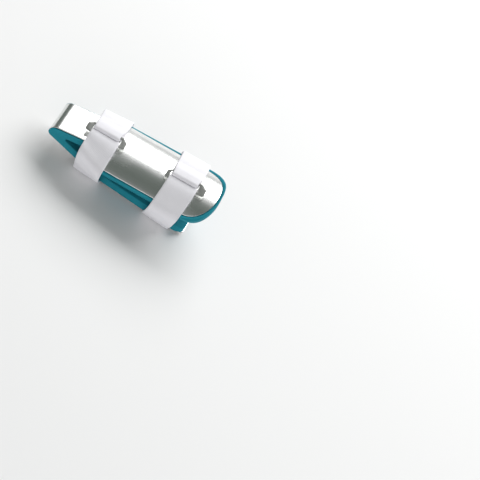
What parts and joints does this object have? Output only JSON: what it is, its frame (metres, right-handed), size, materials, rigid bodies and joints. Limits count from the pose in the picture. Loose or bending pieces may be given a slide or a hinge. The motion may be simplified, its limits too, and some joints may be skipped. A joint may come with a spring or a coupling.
{
  "type": "finger splint",
  "caption": "Fold-over finger splint: bent sheet-metal trough and strip with teal foam lining, held by white hook-and-loop straps with flat metal rings.",
  "frame": {"origin": "middle of the bottom of the bounding box, on the surface the straps' undersides rest on", "axes": "+X from the fold at the tip to the rounded open end, +Z from the narrow lower leg to the wide upper trough, -Y is the side with the straps' sewn ends"},
  "size_m": [0.0786, 0.0358, 0.029],
  "materials": {
    "plate": "bright satin rolled sheet",
    "foam": "matte closed-cell foam",
    "strap": "matte looped hook-and-loop webbing",
    "ring": "satin stamped wire-edge metal"
  },
  "bodies": {
    "root": {"splint_plate": "plate", "foam_lining": "foam", "strap_distal": "strap", "strap_proximal": "strap", "buckle_distal": "ring", "buckle_proximal": "ring"}
  },
  "joints": []
}
